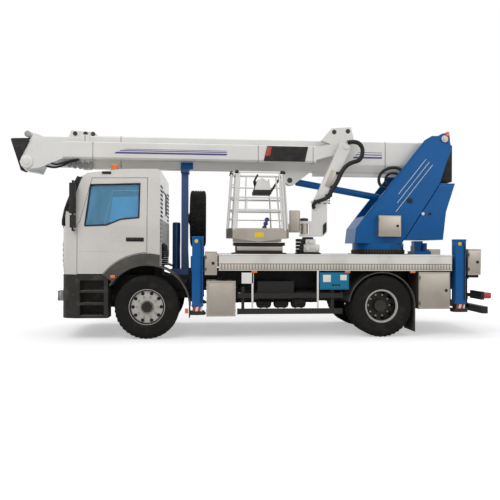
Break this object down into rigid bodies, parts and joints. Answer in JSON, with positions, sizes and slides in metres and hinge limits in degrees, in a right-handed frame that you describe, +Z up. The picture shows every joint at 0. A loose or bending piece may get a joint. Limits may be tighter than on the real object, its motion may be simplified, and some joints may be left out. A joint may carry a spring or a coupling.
{
  "type": "truck-mounted aerial work platform",
  "caption": "Two-axle cab-over truck with a slewing turret, folding boom and jib, personnel basket, outriggers, deck and lockers.",
  "frame": {"origin": "on the ground under the middle of the machine's overall box", "axes": "+X towards the truck's rear, +Y to its right, +Z up"},
  "size_m": [8.276, 2.81, 3.679],
  "materials": {
    "black": "satin",
    "blue": "gloss",
    "boom_white": "gloss",
    "cab_white": "gloss",
    "cast": "rough",
    "chrome": "polished",
    "dark_blue": "satin",
    "dark_plastic": "matte",
    "deck_metal": "satin",
    "glass": "clear",
    "grey_plastic": "matte",
    "lamp": "gloss",
    "orange": "gloss",
    "panel_blue": "gloss",
    "rim_silver": "satin",
    "seat": "woven",
    "steel": "brushed",
    "tyre": "matte"
  },
  "bodies": {
    "chassis": {"cab_shell": "cab_white", "glass_cab": "glass", "cab_floor": "dark_plastic", "cab_inside": "seat", "mirrors": "dark_plastic", "beacon": "orange", "bumper": "grey_plastic", "mudguards": "grey_plastic", "frame": "black", "springs": "cast", "engine": "cast", "front_axle": "cast", "rear_axle": "cast", "subframe": "blue", "deck": "deck_metal", "outrigger_houses": "blue", "boom_rest": "dark_blue", "spare_tyre": "tyre", "spare_rim": "rim_silver", "lockers": "steel", "control_panel": "panel_blue", "brackets": "black", "side_guards": "deck_metal", "lamps": "lamp"},
    "door_left": {"door_left": "cab_white", "glass_left": "glass"},
    "door_right": {"door_right": "cab_white", "glass_right": "glass"},
    "turret": {"turret": "blue", "counterweight": "blue", "turret_controls": "steel"},
    "boom": {"boom": "boom_white", "boom_tip": "boom_white", "tip_cover": "dark_plastic"},
    "jib": {"jib": "boom_white"},
    "level_link": {"level_link": "boom_white"},
    "gooseneck": {"gooseneck": "boom_white"},
    "basket": {"basket_tub": "steel", "basket_rails": "deck_metal", "basket_console": "dark_plastic"},
    "lift_barrel": {"lift_barrel": "blue"},
    "lift_rod": {"lift_rod": "chrome"},
    "knuckle_left": {"knuckle_left": "cast"},
    "wheel_front_left": {"tyre_front_left": "tyre", "rim_front_left": "rim_silver"},
    "wheels_rear_left": {"tyres_rear_left": "tyre", "rims_rear_left": "rim_silver"},
    "outrigger_front_left": {"outrigger_beam_front_left": "blue"},
    "jack_front_left": {"jack_front_left": "black"},
    "outrigger_rear_left": {"outrigger_beam_rear_left": "blue"},
    "jack_rear_left": {"jack_rear_left": "black"},
    "knuckle_right": {"knuckle_right": "cast"},
    "wheel_front_right": {"tyre_front_right": "tyre", "rim_front_right": "rim_silver"},
    "wheels_rear_right": {"tyres_rear_right": "tyre", "rims_rear_right": "rim_silver"},
    "outrigger_front_right": {"outrigger_beam_front_right": "blue"},
    "jack_front_right": {"jack_front_right": "black"},
    "outrigger_rear_right": {"outrigger_beam_rear_right": "blue"},
    "jack_rear_right": {"jack_rear_right": "black"}
  },
  "joints": [
    {"name": "slew", "type": "hinge", "parent": "chassis", "child": "turret", "pos_m": [2.448, 0, 1.385], "axis": [0, 0, 1], "range_deg": [-180, 180]},
    {"name": "boom_lift", "type": "hinge", "parent": "turret", "child": "boom", "pos_m": [3.573, 0, 3.496], "axis": [0, 1, 0], "range_deg": [0, 78]},
    {"name": "jib_fold", "type": "hinge", "parent": "boom", "child": "jib", "pos_m": [-3.792, 0, 2.946], "axis": [0, -1, 0], "range_deg": [0, 165]},
    {"name": "link_level", "type": "hinge", "parent": "jib", "child": "level_link", "pos_m": [1.708, 0, 3.3], "axis": [0, 1, 0], "range_deg": [-79, 1]},
    {"name": "neck_level", "type": "hinge", "parent": "level_link", "child": "gooseneck", "pos_m": [1.708, 0, 3.3], "axis": [0, -1, 0], "range_deg": [-166, 1]},
    {"name": "basket_turn", "type": "hinge", "parent": "gooseneck", "child": "basket", "pos_m": [0.973, -0.56, 1.8], "axis": [0, 0, 1], "range_deg": [0, 90]},
    {"name": "lift_barrel_swing", "type": "hinge", "parent": "turret", "child": "lift_barrel", "pos_m": [2.928, 0, 2.367], "axis": [0, 1, 0], "range_deg": [-1, 70.92]},
    {"name": "lift_rod_slide", "type": "slide", "parent": "lift_barrel", "child": "lift_rod", "axis": [-0.9858, 0, 0.1677], "range_m": [-0.01, 1.5957]},
    {"name": "steer_left", "type": "hinge", "parent": "chassis", "child": "knuckle_left", "pos_m": [-1.692, -0.96, 0.522], "axis": [0, 0, 1], "range_deg": [-35, 35]},
    {"name": "roll_front_left", "type": "hinge", "parent": "knuckle_left", "child": "wheel_front_left", "pos_m": [-1.692, -1.085, 0.522], "axis": [0, 1, 0], "continuous": true},
    {"name": "roll_rear_left", "type": "hinge", "parent": "chassis", "child": "wheels_rear_left", "pos_m": [2.208, -1.09, 0.522], "axis": [0, 1, 0], "continuous": true},
    {"name": "door_left_swing", "type": "hinge", "parent": "chassis", "child": "door_left", "pos_m": [-2.79, -1.254, 1.7], "axis": [0, 0, -1], "range_deg": [0, 65]},
    {"name": "outrigger_front_left_out", "type": "slide", "parent": "chassis", "child": "outrigger_front_left", "axis": [0, -1, 0], "range_m": [0, 0.9]},
    {"name": "jack_front_left_down", "type": "slide", "parent": "outrigger_front_left", "child": "jack_front_left", "axis": [0, 0, -1], "range_m": [0, 0.393]},
    {"name": "outrigger_rear_left_out", "type": "slide", "parent": "chassis", "child": "outrigger_rear_left", "axis": [0, -1, 0], "range_m": [0, 0.9]},
    {"name": "jack_rear_left_down", "type": "slide", "parent": "outrigger_rear_left", "child": "jack_rear_left", "axis": [0, 0, -1], "range_m": [0, 0.418]},
    {"name": "steer_right", "type": "hinge", "parent": "chassis", "child": "knuckle_right", "pos_m": [-1.692, 0.96, 0.522], "axis": [0, 0, 1], "range_deg": [-35, 35]},
    {"name": "roll_front_right", "type": "hinge", "parent": "knuckle_right", "child": "wheel_front_right", "pos_m": [-1.692, 1.085, 0.522], "axis": [0, 1, 0], "continuous": true},
    {"name": "roll_rear_right", "type": "hinge", "parent": "chassis", "child": "wheels_rear_right", "pos_m": [2.208, 1.09, 0.522], "axis": [0, 1, 0], "continuous": true},
    {"name": "door_right_swing", "type": "hinge", "parent": "chassis", "child": "door_right", "pos_m": [-2.79, 1.254, 1.7], "axis": [0, 0, 1], "range_deg": [0, 65]},
    {"name": "outrigger_front_right_out", "type": "slide", "parent": "chassis", "child": "outrigger_front_right", "axis": [0, 1, 0], "range_m": [0, 0.9]},
    {"name": "jack_front_right_down", "type": "slide", "parent": "outrigger_front_right", "child": "jack_front_right", "axis": [0, 0, -1], "range_m": [0, 0.393]},
    {"name": "outrigger_rear_right_out", "type": "slide", "parent": "chassis", "child": "outrigger_rear_right", "axis": [0, 1, 0], "range_m": [0, 0.9]},
    {"name": "jack_rear_right_down", "type": "slide", "parent": "outrigger_rear_right", "child": "jack_rear_right", "axis": [0, 0, -1], "range_m": [0, 0.418]}
  ],
  "couplings": [
    {"joint": "link_level", "follows": "boom_lift", "ratio": -1},
    {"joint": "neck_level", "follows": "jib_fold", "ratio": -1},
    {"joint": "lift_barrel_swing", "follows": "boom_lift", "ratio": 0.89638},
    {"joint": "lift_rod_slide", "follows": "boom_lift", "m_per_rad": 1.1648},
    {"joint": "steer_right", "follows": "steer_left", "ratio": 1}
  ]
}
